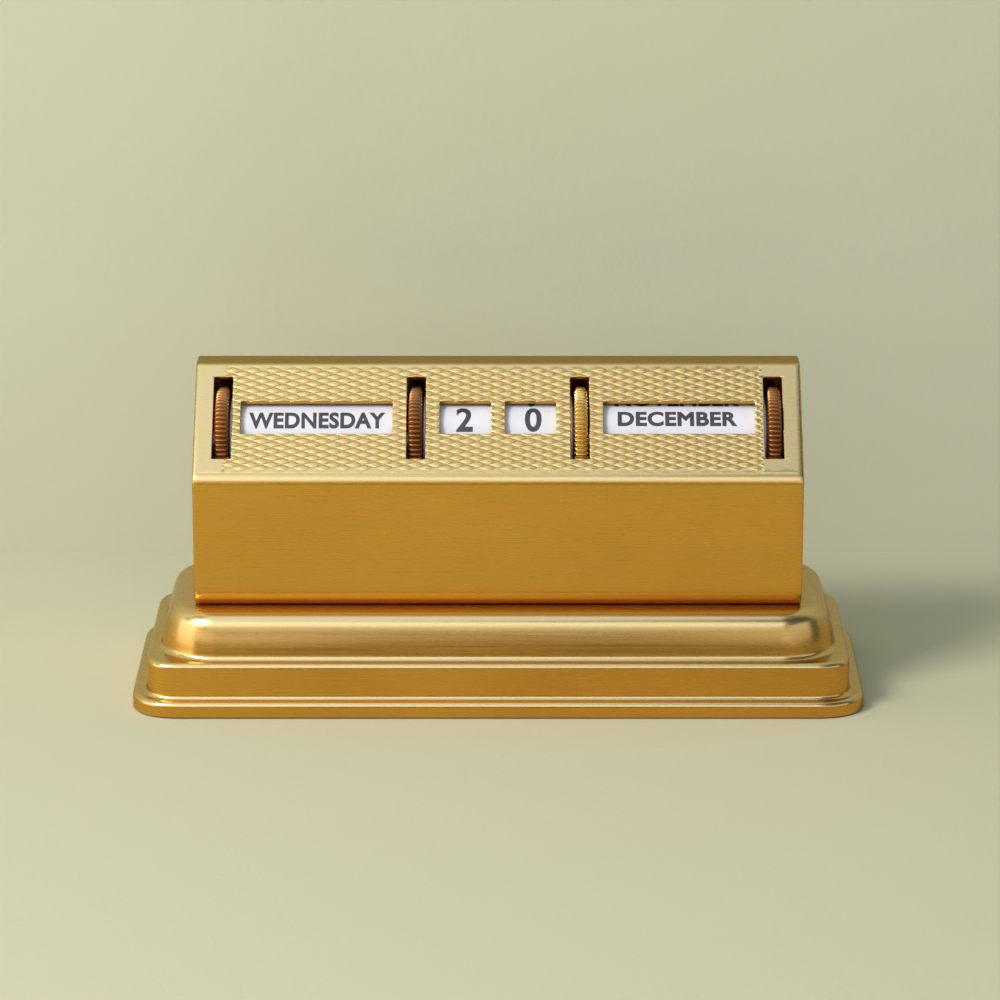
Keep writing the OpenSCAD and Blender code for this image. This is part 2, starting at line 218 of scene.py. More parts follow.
def combine(piece: bpy.types.Object, tool: bpy.types.Object, operation: str, solver: str = "EXACT") -> None:
    """Cut a piece with a tool, or add the tool to it, and remove the tool.

    Args:
        piece: the object that stays.
        tool: the object that cuts it or is added.
        operation: DIFFERENCE or UNION.
        solver: EXACT, or FAST on a dense mesh.
    """
    apply(piece, "BOOLEAN", object=tool, operation=operation, solver=solver)
    bpy.data.objects.remove(tool)


def drill(piece: bpy.types.Object, spots: Iterable[Point], radius: float, z: float, depth: float) -> None:
    """Drill plain upright holes through a piece.

    Args:
        piece: the object.
        spots: the holes' middles in plan.
        radius: their radius.
        z: the middle of their height.
        depth: how deep they go in all.
    """
    for x, y in spots:
        bpy.ops.object.select_all(action="DESELECT")
        bpy.ops.mesh.primitive_cylinder_add(vertices=32, radius=radius, depth=depth, location=(x, y, z))
        bpy.ops.object.transform_apply()
        combine(piece, active(), "DIFFERENCE", "FAST")


def smooth(piece: bpy.types.Object, degrees: float) -> None:
    """Shade a piece smoothly, except where its faces meet at more than an angle."""
    work_on(piece)
    bpy.ops.object.shade_smooth_by_angle(angle=math.radians(degrees))


def settle(piece: bpy.types.Object, name: str, body: str, material: bpy.types.Material) -> bpy.types.Object:
    """Bring a finished piece to metres, name it, dress it, and let it ride on its body.

    Args:
        piece: the object, in millimetres.
        name: its name.
        body: the CAD body that carries it.
        material: its only material.
    Returns:
        The same object.
    """
    work_on(piece)
    bpy.ops.object.transform_apply()
    piece.data.transform(Matrix.Scale(MM, 4))
    piece.name = piece.data.name = name
    dress(piece, material)
    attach(piece, body)
    LOG.info("%s: %d faces on %s", name, len(piece.data.polygons), body)
    return piece


def dress(piece: bpy.types.Object, material: bpy.types.Material) -> None:
    """Give a piece one material all over."""
    piece.data.materials.clear()
    piece.data.materials.append(material)


def arc(centre: Point, radius: float, first: float, last: float, steps: int) -> list[Point]:
    """Points on an arc, both ends included.

    Args:
        centre: its centre.
        radius: its radius.
        first: the angle it starts at, in degrees.
        last: the angle it ends at.
        steps: the number of straight pieces.
    Returns:
        The points in order.
    """
    angles = [math.radians(first + (last - first) * i / steps) for i in range(steps + 1)]
    return [(centre[0] + radius * math.cos(a), centre[1] + radius * math.sin(a)) for a in angles]


# ---- Finishes ----

def add_node(
        tree: bpy.types.NodeTree, kind: str, inputs: dict[Any, Any] | None = None, **settings: Any) -> Any:
    """Add a node with its settings, its plain values and its links.

    Args:
        tree: the node tree.
        kind: the node's type name.
        inputs: a value, or the output socket to link, for each input by name or number.
        settings: the node's own settings.
    Returns:
        The node.
    """
    node = tree.nodes.new(kind)
    for key, value in settings.items():
        setattr(node, key, value)
    for key, value in (inputs or {}).items():
        if isinstance(value, bpy.types.NodeSocket):
            tree.links.new(value, node.inputs[key])
        else:
            node.inputs[key].default_value = value
    return node


def new_material(name: str) -> tuple[bpy.types.Material, bpy.types.NodeTree, Any]:
    """Start a node material.

    Args:
        name: its name.
    Returns:
        The material, its empty tree, and the tree's output node.
    """
    material = bpy.data.materials.new(name)
    material.use_nodes = True
    tree = material.node_tree
    tree.nodes.clear()
    return material, tree, add_node(tree, "ShaderNodeOutputMaterial")


def grain(tree: bpy.types.NodeTree, across: float, along: Vector, detail: float = 2.0) -> Any:
    """Noise on the piece's own coordinates, with one size across and its own stretch each way.

    Args:
        tree: the node tree.
        across: the size of the noise across, in millimetres.
        along: how many times longer it is along X, Y and Z.
        detail: the noise's detail.
    Returns:
        The noise's output socket, from 0 to 1.
    """
    place = add_node(tree, "ShaderNodeTexCoord")
    scale = [1 / (across * MM * stretch_by) for stretch_by in along]
    mapping = add_node(tree, "ShaderNodeMapping", {"Vector": place.outputs["Object"], "Scale": scale})
    noise = add_node(tree, "ShaderNodeTexNoise", {
        "Vector": mapping.outputs[0], "Scale": 1.0, "Detail": detail})
    return noise.outputs[0]


def between(tree: bpy.types.NodeTree, value: Any, low: float, high: float) -> Any:
    """Spread a noise of about 0.3 to 0.7 over a range.

    Args:
        tree: the node tree.
        value: the noise's socket.
        low: what its low end becomes.
        high: what its high end becomes.
    Returns:
        The output socket.
    """
    spread = add_node(tree, "ShaderNodeMapRange", {
        "Value": value, "From Min": 0.3, "From Max": 0.7, "To Min": low, "To Max": high})
    return spread.outputs[0]


def relief(tree: bpy.types.NodeTree, height: Any, depth: float) -> Any:
    """Fine relief that only turns the light.

    Args:
        tree: the node tree.
        height: the socket that says how high the surface stands, from 0 to 1.
        depth: the relief's depth, in millimetres.
    Returns:
        The normal's output socket.
    """
    bump = add_node(tree, "ShaderNodeBump", {"Height": height, "Strength": 1.0, "Distance": depth * MM})
    return bump.outputs[0]


def blend_colours(tree: bpy.types.NodeTree, share: Any, first: str, second: str) -> Any:
    """Mix two colours by a socket's value.

    Args:
        tree: the node tree.
        share: the socket that says how much of the second.
        first: a hex colour.
        second: a hex colour.
    Returns:
        The output socket.
    """
    mix = add_node(tree, "ShaderNodeMix", data_type="RGBA")
    tree.links.new(share, mix.inputs["Factor"])
    mix.inputs[6].default_value = linear(first)
    mix.inputs[7].default_value = linear(second)
    return mix.outputs[2]


@dataclass(frozen=True)
class BrushedMetal:
    """Sheet metal brushed in one direction, bare or under a clear lacquer."""

    name: str
    colour: str
    worn: str                   # colour of the slightly darker places
    roughness: float
    spread: float               # how far the roughness swings along the brushing
    line: float                 # width of the brush lines, in millimetres
    length: float               # how many times longer than wide they are
    depth: float                # their depth, in millimetres
    lacquer: float = 0.0        # weight of the clear coat
    grazing: str = "#FFFFFF"    # tint of what the metal reflects when seen nearly edge on
    painted_highlight: str = ""             # painted highlight: a paler colour mixed in on the faces that look up
    turned: bool = False        # on faces that stand up, the lines run level all round
    cloud: float = 28.0         # size of the slow changes of colour, in millimetres
    painted_highlight_band: Point = (0.15, 0.55)    # the faces' upward share over which the painted highlight sets in
    level_band: Point = (0.75, 0.9)     # and over which level lines give way to lines along X

    def material(self) -> bpy.types.Material:
        """Make the node material."""
        material, tree, output = new_material(self.name)
        lines = grain(tree, self.line, Vector((self.length, 1, 1)))
        facing = add_node(tree, "ShaderNodeNewGeometry")
        split = add_node(tree, "ShaderNodeSeparateXYZ", {0: facing.outputs["Normal"]})
        if self.turned:
            level_lines = grain(tree, self.line, Vector((self.length, self.length, 1)))
            facing_up = add_node(tree, "ShaderNodeMath", {0: split.outputs["Z"]}, operation="ABSOLUTE")
            level_from, level_to = self.level_band
            share = add_node(tree, "ShaderNodeMapRange", {
                "Value": facing_up.outputs[0], "From Min": level_from, "From Max": level_to})
            mixed = add_node(tree, "ShaderNodeMix", {0: share.outputs[0], 2: level_lines, 3: lines})
            lines = mixed.outputs[0]
        clouds = grain(tree, self.cloud, Vector((1.6, 1, 1)), 3.0)
        colour = blend_colours(tree, between(tree, clouds, 0.0, 1.0), self.colour, self.worn)
        # Painted highlight: the faces that look up are mixed towards a paler colour.
        if self.painted_highlight:
            highlight_from, highlight_to = self.painted_highlight_band
            upward = add_node(tree, "ShaderNodeMapRange", {
                "Value": split.outputs["Z"], "From Min": highlight_from, "From Max": highlight_to})
            highlit = add_node(tree, "ShaderNodeMix", {
                "Factor": upward.outputs[0], 6: colour, 7: linear(self.painted_highlight)}, data_type="RGBA")
            colour = highlit.outputs[2]
        rough = between(tree, lines, self.roughness - self.spread, self.roughness + self.spread)
        bump = relief(tree, lines, self.depth)
        shader = add_node(tree, "ShaderNodeBsdfPrincipled", {
            "Base Color": colour, "Metallic": 1.0, "Roughness": rough, "Normal": bump,
            "Specular Tint": linear(self.grazing), "Coat Weight": self.lacquer, "Coat Roughness": 0.1,
            "Coat IOR": 1.7})
        tree.links.new(shader.outputs[0], output.inputs["Surface"])
        return material


@dataclass(frozen=True)
class Matt:
    """A dull surface: moulded plastic, printed paper, printing ink or felt."""

    name: str
    colour: str
    second: str                 # the other colour in its mottle
    roughness: float
    mottle: float               # size of the mottle, in millimetres
    tooth: float                # size of the fine tooth, in millimetres
    depth: float                # its depth, in millimetres
    fuzz: float = 0.0           # sheen of loose fibres
    spread: float = 0.06        # how far the roughness swings with the tooth

    def material(self) -> bpy.types.Material:
        """Make the node material."""
        material, tree, output = new_material(self.name)
        patches = grain(tree, self.mottle, Vector((1, 1, 1)), 4.0)
        fine = grain(tree, self.tooth, Vector((1, 1, 1)), 3.0)
        colour = blend_colours(tree, between(tree, patches, 0.0, 1.0), self.colour, self.second)
        rough = between(tree, fine, self.roughness - self.spread, self.roughness + self.spread)
        bump = relief(tree, fine, self.depth)
        shader = add_node(tree, "ShaderNodeBsdfPrincipled", {
            "Base Color": colour, "Roughness": rough, "Normal": bump, "Sheen Weight": self.fuzz,
            "Sheen Roughness": 0.5})
        tree.links.new(shader.outputs[0], output.inputs["Surface"])
        return material


# Rolled brass, satin brushed along its length and lacquered: warm, with soft reflections that are
# stretched across the brush lines. The lines of real satin brushing are 0.05 mm wide, and are drawn
# 0.22 mm wide to show.
# Its faces that look up are mixed towards a paler colour, a painted highlight.
SATIN_BRASS = BrushedMetal(
    "satin brushed brass", "#E0A43C", "#D79C38", 0.28, 0.02, 0.22, 140, 0.0004, 0.25, "#95805A", "#DCBE84")
# The same brass on the pressed base, brushed round its edge, so that the lines run level on every side.
# Its faces that look up get the same painted highlight.
BASE_BRASS = BrushedMetal(
    "satin brushed brass, brushed round", "#DEA23C", "#D09434", 0.26, 0.035, 0.24, 140, 0.0006, 0.25,
    "#D8CDB4", "#DCBE84", True)
# Solid brass, turned and knurled, a brighter gold than the other wheels.
WHEEL_BRASS = BrushedMetal("knurled brass", "#E2B866", "#D4A552", 0.26, 0.04, 0.2, 4, 0.001, 0.5)
# A darker, coppery brass, the same all over each wheel, for the weekday, tens and month wheels.
COPPERY_WHEEL_BRASS = BrushedMetal(
    "knurled brass, darker and coppery", "#A87444", "#8A5A34", 0.36, 0.05, 0.2, 4, 0.002)
# Bright turned brass, with fine rings that read as a slightly uneven polish.
SCREW_BRASS = BrushedMetal("turned brass", "#DDAF62", "#CC9B50", 0.2, 0.04, 0.15, 3, 0.001)
# Bright zinc plating on mild steel: a cold grey with a cloudy bloom.
ZINC_PLATE = BrushedMetal("zinc plated steel", "#B9BBB9", "#A3A6A6", 0.36, 0.06, 0.4, 6, 0.002)
# Drawn and ground silver steel, with fine lines along the bar.
GROUND_STEEL = BrushedMetal("ground steel", "#C4C5C6", "#B4B6B8", 0.22, 0.04, 0.12, 60, 0.001)
# Moulded phenolic plastic: a dark brown, faintly waxy surface with fine spark-eroded texture.
MOULDED_PLASTIC = Matt("moulded phenolic plastic", "#3B2C22", "#33251C", 0.5, 9.0, 0.35, 0.004)
# Coated label paper: a cool white with a barely uneven surface.
LABEL_PAPER = Matt("coated label paper", "#CECED6", "#C9C9D2", 0.62, 3.0, 0.12, 0.0015)
# Offset printing ink: a soft charcoal that takes a little tooth from the paper.
PRINTING_INK = Matt("charcoal printing ink", "#38383F", "#2F2F37", 0.6, 1.2, 0.12, 0.001)
# Pressed wool felt: dark green, matted fibres that catch the light at the edge.
WOOL_FELT = Matt("pressed wool felt", "#1E3A2A", "#16301F", 0.95, 2.2, 0.35, 0.15, 0.6)


# ---- Base ----

@dataclass
class Base:
    """The stepped base pressing with its felt, and the hardware that holds it to the housing."""

    body: str = "case"
    rim_gap: float = 0.3            # height of the metal rim above the table
    corner_reach: float = 10.5      # how far from the corner the plan's rounding starts
    corner_fullness: float = 0.57   # over 0.5 the rounding starts more gently than a circle
    lower_tier_h: float = 3.0
    upper_tier_h: float = 7.1
    lower_step: float = 2.95
    upper_step: float = 2.5
    ledge_fall: float = 14.0        # degrees by which the ledges fall towards the wall behind them
    dome_lean: float = 8.0          # degrees from the upright, at the dome's foot
    dome_swell_r: float = 27.0      # of the dome's side, up to its shoulder
    shoulder_lean: float = 20.0     # degrees from the upright, where the shoulder begins
    dome_corner_r: float = 11.5     # of the dome's corners in plan, at its foot
    edge_r: float = 1.1
    cove_r: float = 0.9
    dome_cove_r: float = 1.2
    sheet_t: float = 0.8
    post_r: float = 3.0
    stud_hole_r: float = 1.6
    felt_r: float = 7.0
    felt_hole_r: float = 3.4
    felt_cell: float = 0.75         # size of the felt's mesh cells
    felt_unevenness: float = 0.12

    def spots(self) -> list[Point]:
        """The four posts' middles in plan, from the frame."""
        low, high = extent("base_posts")
        x, y = high.x - self.post_r, high.y - self.post_r
        return [(-x, -y), (x, -y), (-x, y), (x, y)]

    def profile(self, top: float) -> list[Point]:
        """The side of the pressing, from the rim up to the flat top.

        Args:
            top: the height of the dome's flat top.
        Returns:
            Points of inset and height.
        """
        lower_top = self.rim_gap + self.lower_tier_h
        upper_top = lower_top + self.upper_tier_h
        foot = self.lower_step + self.upper_step
        lean, shoulder_lean = math.radians(self.dome_lean), math.radians(self.shoulder_lean)
        fall = math.tan(math.radians(self.ledge_fall))
        lower_drop = (self.lower_step - self.cove_r - self.edge_r) * fall
        cove_reach = self.dome_cove_r * math.tan((math.pi / 2 - lean) / 2)
        upper_drop = (self.upper_step - cove_reach - self.edge_r) * fall
        points = [(0.0, self.rim_gap)]
        points += arc((self.edge_r, lower_top - self.edge_r), self.edge_r, 180, 90, 6)
        lower_cove = (self.lower_step - self.cove_r, lower_top - lower_drop + self.cove_r)
        points += arc(lower_cove, self.cove_r, -90, 0, 6)
        points += arc((self.lower_step + self.edge_r, upper_top - self.edge_r), self.edge_r, 180, 90, 6)
        upper_cove = (foot - cove_reach, upper_top - upper_drop + self.dome_cove_r)
        points += arc(upper_cove, self.dome_cove_r, -90, -self.dome_lean, 6)
        foot_x, foot_z = points[-1]
        swell = (foot_x + self.dome_swell_r * math.cos(lean), foot_z - self.dome_swell_r * math.sin(lean))
        points += arc(swell, self.dome_swell_r, 180 - self.dome_lean, 180 - self.shoulder_lean, 6)
        brow_x, brow_z = points[-1]
        shoulder_r = (top - brow_z) / (1 - math.sin(shoulder_lean))
        shoulder = (brow_x + shoulder_r * math.cos(shoulder_lean), top - shoulder_r)
        points += arc(shoulder, shoulder_r, 180 - self.shoulder_lean, 90, 14)
        return points

    def build_shell(self) -> bpy.types.Object:
        """Press the base out of one sheet: a rounded plan, raised step by step, then given its thickness."""
        low, high = extent("base_shell")
        half = Vector((high.x, high.y))
        points = self.profile(high.z)
        shell = start(bpy.ops.mesh.primitive_plane_add, size=1, location=(0, 0, self.rim_gap))
        stretch(2 * half.x, 2 * half.y, 1, (0, 0, 0))
        bpy.ops.mesh.bevel(
            affect="VERTICES", offset_type="ABSOLUTE", offset=self.corner_reach, segments=20,
            profile=self.corner_fullness)
        foot = self.lower_step + self.upper_step
        for (inset, z), (next_inset, next_z) in zip(points, points[1:]):
            if math.dist((inset, z), (next_inset, next_z)) < 1e-6:
                continue
            if next_inset - inset < 1e-6:
                extrude(z=next_z - z)
            elif next_z < self.lower_tier_h + self.upper_tier_h or next_inset < foot - self.dome_cove_r:
                bpy.ops.mesh.inset(thickness=next_inset - inset, depth=next_z - z, use_even_offset=True)
            else:
                extrude(z=next_z - z)
                ring = half - Vector((next_inset, next_inset))
                self.round_ring(ring, self.dome_corner_r - next_inset + foot)
        pick(Part.FACE, lambda f: middle(f).z < self.rim_gap + 1e-3 and abs(f.normal.z) > 0.9)
        bpy.ops.mesh.delete(type="ONLY_FACE")
        bpy.ops.mesh.select_all(action="SELECT")
        bpy.ops.mesh.remove_doubles(threshold=0.01)
        bpy.ops.mesh.normals_make_consistent(inside=False)
        close_edit()
        apply(shell, "SOLIDIFY", thickness=self.sheet_t, offset=-1, use_even_offset=True)
        drill(shell, self.spots(), self.stud_hole_r, high.z - self.sheet_t / 2, 4 * self.sheet_t)
        smooth(shell, 40)
        return shell

    def round_ring(self, half: Vector, radius: float) -> None:
        """Give the selected ring of the dome its size, with truly round corners.

        Args:
            half: half the ring's length and depth.
            radius: the radius of its corners.
        """
        shape = bmesh.from_edit_mesh(active().data)
        for side_x, side_y in ((-1, -1), (1, -1), (-1, 1), (1, 1)):
            corner = [v for v in shape.verts if v.select and v.co.x * side_x > 0 and v.co.y * side_y > 0]
            corner.sort(key=lambda v: abs(v.co.y) - abs(v.co.x))
            for index, vertex in enumerate(corner):
                turn = math.pi / 2 * index / (len(corner) - 1)
                vertex.co.x = side_x * (half.x - radius + radius * math.cos(turn))
                vertex.co.y = side_y * (half.y - radius + radius * math.sin(turn))
        bmesh.update_edit_mesh(active().data)

    def build_felt(self) -> bpy.types.Object:
        """Cut the felt, give it holes for the screw heads, and matt its surface."""
        low, high = extent("felt_pad")
        felt = start(bpy.ops.mesh.primitive_plane_add, size=1, location=(0, 0, low.z))
        stretch(high.x - low.x, high.y - low.y, 1, (0, 0, 0))
        bpy.ops.mesh.bevel(affect="VERTICES", offset_type="ABSOLUTE", offset=self.felt_r, segments=8)
        extrude(z=high.z - low.z)
        bpy.ops.mesh.select_all(action="SELECT")
        bpy.ops.mesh.normals_make_consistent(inside=False)
        close_edit()
        drill(felt, self.spots(), self.felt_hole_r, (low.z + high.z) / 2, 4 * (high.z - low.z))
        apply(felt, "REMESH", mode="VOXEL", voxel_size=self.felt_cell)
        apply(felt, "SMOOTH", factor=0.5, iterations=3)
        fibres = bpy.data.textures.new("matted fibres", "CLOUDS")
        fibres.noise_scale = 3 * self.felt_cell
        apply(felt, "DISPLACE", texture=fibres, strength=self.felt_unevenness, mid_level=1.0)
        for vertex in felt.data.vertices:
            vertex.co.z = min(max(vertex.co.z, low.z), high.z)
        smooth(felt, 80)
        return felt

    def dress(self, frame: dict[str, Any]) -> None:
        """Build, place and finish the base's pieces, and finish its CAD nodes."""
        shell = settle(self.build_shell(), "stepped_base", self.body, BASE_BRASS.material())
        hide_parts("base_shell")
        felt = settle(self.build_felt(), "felt_sole", self.body, WOOL_FELT.material())
        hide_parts("felt_pad")
        plating = ZINC_PLATE.material()
        for node in ("base_plate", "base_posts", "plate_screws", "housing_nuts"):
            dress(frame["nodes"][node], plating)


# ---- Housing ----

@dataclass(frozen=True)
class Opening:
    """A window or a slot in the dial, in the dial's own plane."""

    x: float
    width: float
    height: float

    def gap(self, x: float, s: float, mid: float) -> float:
        """How far a point is outside the opening, or a negative number inside it.

        Args:
            x: the point's place along the dial.
            s: its place up the slope.
            mid: the openings' middle up the slope.
        Returns:
            The distance to its edge.
        """
        dx, ds = abs(x - self.x) - self.width / 2, abs(s - mid) - self.height / 2
        return math.hypot(max(dx, 0), max(ds, 0)) + min(max(dx, ds), 0)


@dataclass
class EngineTurning:
    """Barleycorn engine turning: wavy cuts, each the mirror of the next, that leave rows of grains."""

    pitch: float = 0.77             # between neighbouring cuts
    wave: float = 4.08              # length of one wave along the dial
    swing: float = 0.31             # how far a cut swings to each side
    phase: float = 0.0
    depth: float = 0.085
    slope: float = 0.38             # of the cuts' flanks
    pillow: float = 0.035           # how far a grain's middle stands above its rim
    first: float = 2.416            # the lowest cut, up the slope from the fold
    count: int = 31
    left: float = -54.3             # the field's left edge
    right: float = 52.3             # the field's right edge
    shares: tuple[float, ...] = (0.0, 0.14, 0.32, 0.5, 0.68, 0.86)

    def line(self, index: int, x: float) -> float:
        """Where a cut runs at x, up the slope."""
        turn = 2 * math.pi * (x - self.phase) / self.wave + math.pi * index
        return self.first + self.pitch * index + self.swing * math.cos(turn)

    def rows(self) -> list[Callable[[float], float]]:
        """The mesh rows that follow the cuts, each as a function of x."""
        def row(index: int, share: float) -> Callable[[float], float]:
            return lambda x: (1 - share) * self.line(index, x) + share * self.line(index + 1, x)
        found = [row(k, share) for k in range(self.count - 1) for share in self.shares]
        return found + [row(self.count - 1, 0.0)]

    def height(self, x: float, s: float) -> float:
        """Height of the surface over the plain dial, which is below zero in the cuts."""
        guess = int((s - self.first) / self.pitch)
        nearby = sorted(self.line(k, x) for k in range(max(guess - 2, 0), min(guess + 4, self.count)))
        below = [line for line in nearby if line <= s + 1e-6]
        above = [line for line in nearby if line > s + 1e-6]
        if not self.left <= x <= self.right or not nearby:
            return 0.0
        away = min(abs(line - s) for line in nearby)
        cut = -max(0.0, self.depth - self.slope * away)
        if below and above:
            gap = above[0] - below[-1]
            share = (s - below[-1]) / gap
            cut += self.pillow * gap / self.pitch * 4 * share * (1 - share)
        return cut


@dataclass
class Housing:
    """One folded brass sheet with the engine-turned dial, and the two end plates."""

    body: str = "case"
    slope: float = 45.0             # of the dial, in degrees
    rise: float = 18.8
    proud: float = 0.4              # how far the front wall stands before the CAD's
    top_d: float = 6.6
    back_bevel: float = 5.6
    sheet_t: float = 0.9
    bend_r: float = 5.5             # of the wide part of the lower bends
    bend_turn: float = 55.0         # degrees through which the wide part turns
    tight_r: float = 1.3            # of the rest of each lower bend
    fold_r: float = 3.2
    ridge_r: float = 1.2
    crease_at: float = 1.34         # the scribed line over the fold
    crease_w: float = 0.4
    crease_d: float = 0.07
    flange_w: float = 11.5
    dial_mid: float = 14.216
    window_h: float = 7.4
    name_x: float = 36.125          # middles of the windows and slots, left and right of the dial's middle
    name_w: float = 30.25
    digit_x: float = 6.5
    digit_w: float = 10.2
    outer_slot_x: float = 54.85
    inner_slot_x: float = 16.3
    slot_w: float = 3.8
    slot_l: float = 18.7
    edge_round: float = 0.14        # width of the broken edge round the openings
    edge_drop: float = 0.09         # how far that edge falls
    field_edge: float = 0.2         # width of the step at the ends of the engine-turned field
    column: float = 0.51            # spacing of the mesh columns over the field
    cut_reach: float = 1.2          # how far from an opening's edge the mesh is cut along it
    relief_limit: float = 0.3       # deeper than any cut in the dial
    fold_steps: int = 10            # straight pieces in the fold and in the front's bend
    ridge_steps: int = 8            # and in each ridge and in the back's bend
    end_bevel: float = 0.45
    foot_reach: float = 13.0
    foot_side_gap: float = 4.3
    foot_t: float = 1.2
    axle_hole_r: float = 1.55
    drill_l: float = 6.0            # length of the drill that makes it
    turning: EngineTurning = field(default_factory=EngineTurning)
    openings: tuple[Opening, ...] = ()

    def __post_init__(self) -> None:
        """Read the housing's place from the frame, and lay out the openings."""
        low, high = extent("housing_shell")
        self.half_w, self.bottom, self.top = high.x, low.z, high.z
        self.front, self.back = low.y - self.proud, high.y
        self.fold_z = self.top - self.rise
        self.dial_l = self.rise / math.sin(math.radians(self.slope))
        slots = [(x, self.slot_w, self.slot_l) for x in (self.outer_slot_x, self.inner_slot_x)]
        windows = [(self.digit_x, self.digit_w, self.window_h), (self.name_x, self.name_w, self.window_h)]
        self.openings = tuple(
            Opening(side * x, width, height) for side in (-1, 1) for x, width, height in slots + windows)

    def onto_dial(self) -> Matrix:
        """Takes the flat dial, x along and y up the slope, to its place on the housing."""
        turn = Matrix.Rotation(math.radians(self.slope), 4, "X")
        return Matrix.Translation((0, self.front, self.fold_z)) @ turn

    def reach(self, radius: float, turn: float) -> float:
        """How far from a corner its rounding starts, for a bend through turn degrees."""
        return radius * math.tan(math.radians(turn / 2))

    def columns(self) -> list[float]:
        """The mesh columns along the dial: both sides of every opening's edge, and an even fill between."""
        edges = {-self.half_w, self.half_w, self.turning.left, self.turning.right}
        for opening in self.openings:
            for side in (-1, 1):
                edge = opening.x + side * opening.width / 2
                edges |= {edge, edge + side * self.edge_round}
        edges |= {self.turning.left - self.field_edge, self.turning.right + self.field_edge}
        fixed = sorted(edges)
        found = []
        for left, right in zip(fixed, fixed[1:]):
            pieces = max(1, round((right - left) / self.column))
            found += [left + (right - left) * i / pieces for i in range(pieces)]
        return found + [fixed[-1]]

    def rows(self) -> list[Callable[[float], float]]:
        """The mesh rows up the dial: the lower margin and its scribed line, the cuts, the upper margin."""
        def level(s: float) -> Callable[[float], float]:
            return lambda x: s
        low = self.reach(self.fold_r, self.slope)
        high = self.dial_l - self.reach(self.ridge_r, self.slope)
        crease = [self.crease_at + self.crease_w * share for share in (0.0, 0.5, 1.0)]
        return [level(s) for s in [low, *crease]] + self.turning.rows() + [level(high)]

    def lay_dial(self) -> bpy.types.Object:
        """Lay the flat dial as a grid whose rows follow the cuts, and cut the openings out."""
        columns, rows = self.columns(), self.rows()
        bpy.ops.object.select_all(action="DESELECT")
        bpy.ops.mesh.primitive_grid_add(x_subdivisions=len(columns) - 1, y_subdivisions=len(rows) - 1, size=1)
        dial = active()
        places = [c for row in rows for x in columns for c in (x, row(x), 0.0)]
        dial.data.vertices.foreach_set("co", places)
        dial.data.update()
        bpy.ops.object.mode_set(mode="EDIT")
        for height in (self.window_h, self.slot_l):
            spans = [(o.x, o.width / 2 + 2 * self.edge_round) for o in self.openings if o.height == height]
            for side in (-1, 1):
                for away in (0.0, self.edge_round):
                    at = self.dial_mid + side * (height / 2 + away)
                    pick(Part.FACE, lambda f: abs(middle(f).y - at) < self.cut_reach and any(
                        abs(middle(f).x - x) < half for x, half in spans))
                    cut_plane((0, at, 0), (0, 1, 0))
        pick(Part.FACE, lambda f: any(
            o.gap(middle(f).x, middle(f).y, self.dial_mid) < 0 for o in self.openings))
        bpy.ops.mesh.delete(type="FACE")
        close_edit()
        return dial

    def surface(self, x: float, s: float) -> float:
        """Height of the dial's finished surface over its plane."""
        height = self.turning.height(x, s)
        from_crease = abs(s - self.crease_at - self.crease_w / 2)
        height -= self.crease_d * max(0.0, 1 - from_crease / (self.crease_w / 2))
        gap = min(max(o.gap(x, s, self.dial_mid), 0.0) for o in self.openings)
        if gap < self.edge_round:
            height -= self.edge_drop * (1 - gap / self.edge_round)
        return height

    def edge_at(self, y: float, z: float) -> Callable[[Any], bool]:
        """A test for the open edges that lie along the housing at one place of its section."""
        return lambda e: e.is_boundary and all(
            math.hypot(v.co.y - y, v.co.z - z) < 1e-3 for v in e.verts)

    def fold_round(self, steps: int) -> None:
        """From the dial's lower edge: the fold, the front, the bottom bend and the front flange."""
        reach = self.reach(self.fold_r, self.slope)
        turn = math.radians(self.slope)
        lower_y, lower_z = self.front + reach * math.cos(turn), self.fold_z + reach * math.sin(turn)
        pick(Part.EDGE, self.edge_at(lower_y, lower_z))
        spin((self.front + self.fold_r, self.fold_z - reach), self.slope, steps)
        self.turn_in(-1, self.front, self.fold_z - reach, steps)

    def fold_back(self, steps: int) -> None:
        """From the dial's upper edge: the ridges, the flat top, the bevel, the back and its flange."""
        reach = self.reach(self.ridge_r, self.slope)
        turn = math.radians(self.slope)
        corner_y = self.front + self.dial_l * math.cos(turn)
        pick(Part.EDGE, self.edge_at(corner_y - reach * math.cos(turn), self.top - reach * math.sin(turn)))
        spin((corner_y + reach, self.top - self.ridge_r), -self.slope, steps)
        extrude(y=self.top_d - 2 * reach)
        back_corner = corner_y + self.top_d
        spin((back_corner - reach, self.top - self.ridge_r), -45, steps)
        down = self.back_bevel - 2 * reach * math.sin(math.pi / 4)
        extrude(y=down, z=-down)
        spin((self.back - self.ridge_r, self.top - self.back_bevel - reach), -45, steps)
        self.turn_in(1, self.back, self.top - self.back_bevel - reach, steps)

    def turn_in(self, side: int, wall_y: float, from_z: float, steps: int) -> None:
        """Run a wall down, and bend it in to its flange: first widely, then tightly.

        Args:
            side: -1 for the front wall, 1 for the back.
            wall_y: the wall's place across.
            from_z: where the wall starts.
            steps: the number of straight pieces in the wide part.
        """
        bend_z, reach_in = self.bend_size()
        extrude(z=self.bottom + bend_z - from_z)
        spin((wall_y - side * self.bend_r, self.bottom + bend_z), -side * self.bend_turn, steps)
        spin((wall_y - side * reach_in, self.bottom + self.tight_r), -side * (90 - self.bend_turn), 5)
        extrude(y=-side * (self.flange_w - reach_in))

    def bend_size(self) -> Point:
        """How high over the bottom a lower bend starts, and how far in its tight part's centre is."""
        turn = math.radians(self.bend_turn)
        return (self.bend_r * math.sin(turn) + self.tight_r * (1 - math.sin(turn)),
                self.bend_r * (1 - math.cos(turn)) + self.tight_r * math.cos(turn))

